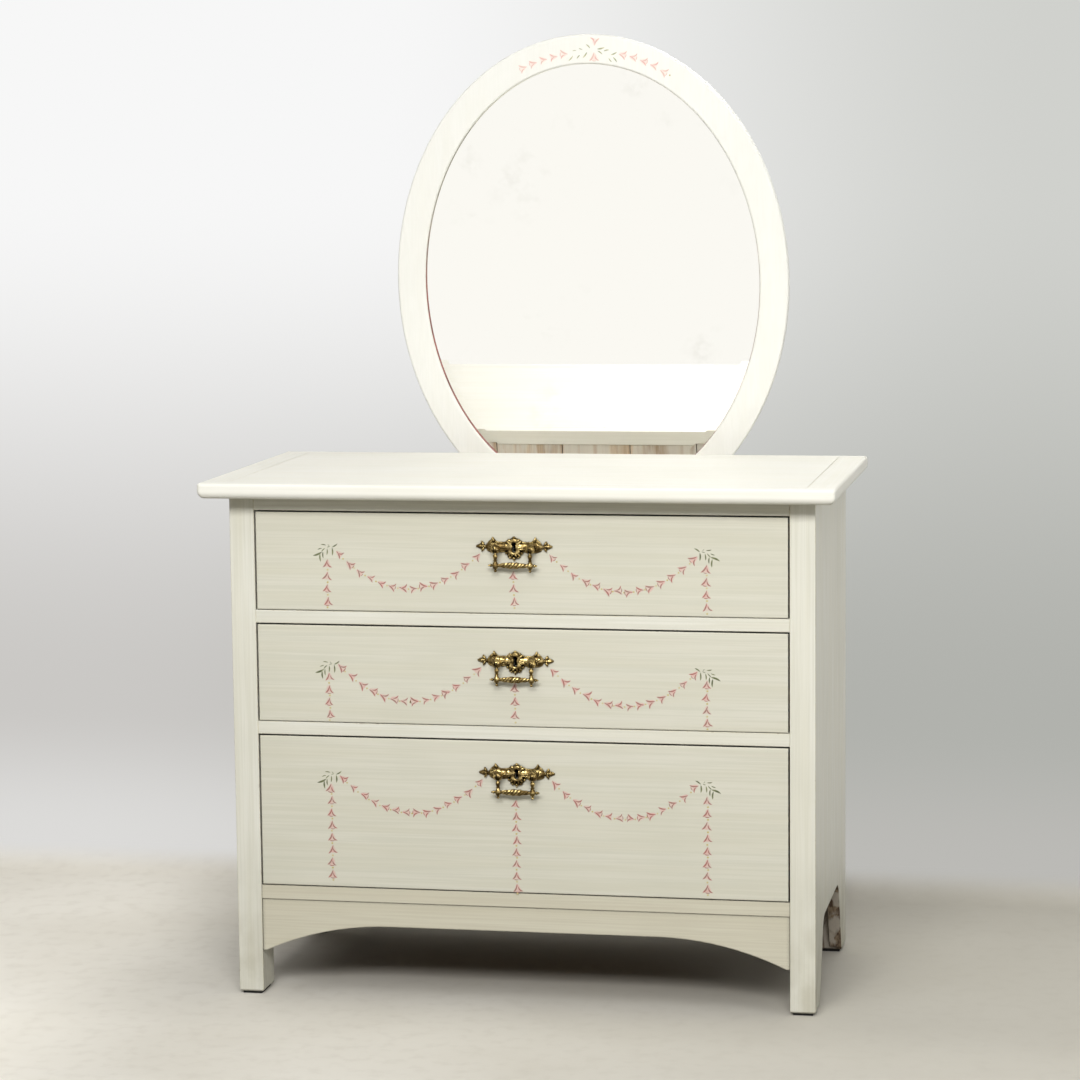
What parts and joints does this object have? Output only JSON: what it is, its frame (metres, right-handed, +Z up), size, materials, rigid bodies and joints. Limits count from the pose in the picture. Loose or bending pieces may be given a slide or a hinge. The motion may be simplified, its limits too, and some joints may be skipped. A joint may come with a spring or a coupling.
{
  "type": "dresser with mirror",
  "caption": "Painted dresser with wide stacked drawers on short arched legs, drop-bail handles, and an oval tilting mirror on posts behind the top.",
  "frame": {"origin": "on the floor, at the centre of the whole object's bounding box", "axes": "+Z up, drawers open towards -Y, +X to the right when facing the drawers"},
  "size_m": [1, 0.7274, 1.5351],
  "materials": {
    "painted_pine": "brushed eggshell paint on pine",
    "raw_pine": "unfinished aged pine",
    "plywood": "unfinished plywood",
    "cast_brass": "aged cast brass",
    "lock_steel": "dull steel",
    "zinc_steel": "zinc plated",
    "mirror": "silvered bevelled glass",
    "black_pad": "matte"
  },
  "bodies": {
    "root": {"top_panel": "painted_pine", "top_front_strip": "painted_pine", "top_back_strip": "painted_pine", "top_end_boards": "painted_pine", "front_top_rail": "painted_pine", "drawer_rail_upper": "painted_pine", "drawer_rail_lower": "painted_pine", "front_bottom_rail": "painted_pine", "front_apron": "painted_pine", "back_rails": "raw_pine", "back_boards": "raw_pine", "side_panel_left": "painted_pine", "side_panel_right": "painted_pine", "front_leg_left": "painted_pine", "back_leg_left": "painted_pine", "front_leg_right": "painted_pine", "back_leg_right": "painted_pine", "leg_pads": "black_pad", "drawer_runners": "raw_pine", "drawer_stops": "raw_pine", "glue_blocks": "lock_steel", "mirror_post_left": "painted_pine", "mirror_post_right": "painted_pine", "stand_spacers": "painted_pine", "tilt_brackets": "zinc_steel", "tilt_bolts": "zinc_steel", "stand_bolts": "zinc_steel"},
    "drawer_1": {"drawer_1_front": "painted_pine", "drawer_1_sides": "raw_pine", "drawer_1_back": "raw_pine", "drawer_1_bottom": "plywood", "drawer_1_lock_case": "lock_steel", "handle_1_plate": "cast_brass", "handle_1_posts": "cast_brass"},
    "bail_1": {"handle_1_bail": "cast_brass"},
    "lock_bolt_1": {"drawer_1_lock_bolt": "lock_steel"},
    "drawer_2": {"drawer_2_front": "painted_pine", "drawer_2_sides": "raw_pine", "drawer_2_back": "raw_pine", "drawer_2_bottom": "plywood", "drawer_2_lock_case": "lock_steel", "handle_2_plate": "cast_brass", "handle_2_posts": "cast_brass"},
    "bail_2": {"handle_2_bail": "cast_brass"},
    "lock_bolt_2": {"drawer_2_lock_bolt": "lock_steel"},
    "drawer_3": {"drawer_3_front": "painted_pine", "drawer_3_sides": "raw_pine", "drawer_3_back": "raw_pine", "drawer_3_bottom": "plywood", "drawer_3_lock_case": "lock_steel", "handle_3_plate": "cast_brass", "handle_3_posts": "cast_brass"},
    "bail_3": {"handle_3_bail": "cast_brass"},
    "lock_bolt_3": {"drawer_3_lock_bolt": "lock_steel"},
    "mirror": {"mirror_frame": "painted_pine", "mirror_glass": "mirror", "mirror_backboard": "plywood", "mirror_clips": "zinc_steel", "mirror_batten": "painted_pine", "mirror_lugs": "zinc_steel"}
  },
  "joints": [
    {"name": "drawer_1_slide", "type": "slide", "parent": "root", "child": "drawer_1", "axis": [0, -1, 0], "range_m": [0, 0.33]},
    {"name": "bail_1_swing", "type": "hinge", "parent": "drawer_1", "child": "bail_1", "pos_m": [-0.005, -0.32171, 0.728], "axis": [-1, 0, 0], "range_deg": [0, 88]},
    {"name": "lock_bolt_1_slide", "type": "slide", "parent": "drawer_1", "child": "lock_bolt_1", "axis": [0, 0, 1], "range_m": [0, 0.009]},
    {"name": "drawer_2_slide", "type": "slide", "parent": "root", "child": "drawer_2", "axis": [0, -1, 0], "range_m": [0, 0.33]},
    {"name": "bail_2_swing", "type": "hinge", "parent": "drawer_2", "child": "bail_2", "pos_m": [-0.005, -0.32171, 0.5485], "axis": [-1, 0, 0], "range_deg": [0, 88]},
    {"name": "lock_bolt_2_slide", "type": "slide", "parent": "drawer_2", "child": "lock_bolt_2", "axis": [0, 0, 1], "range_m": [0, 0.009]},
    {"name": "drawer_3_slide", "type": "slide", "parent": "root", "child": "drawer_3", "axis": [0, -1, 0], "range_m": [0, 0.33]},
    {"name": "bail_3_swing", "type": "hinge", "parent": "drawer_3", "child": "bail_3", "pos_m": [-0.005, -0.32171, 0.37], "axis": [-1, 0, 0], "range_deg": [0, 88]},
    {"name": "lock_bolt_3_slide", "type": "slide", "parent": "drawer_3", "child": "lock_bolt_3", "axis": [0, 0, 1], "range_m": [0, 0.009]},
    {"name": "mirror_tilt", "type": "hinge", "parent": "root", "child": "mirror", "pos_m": [0.02, 0.30971, 1.11931], "axis": [1, 0, 0], "range_deg": [-12, 4]}
  ]
}
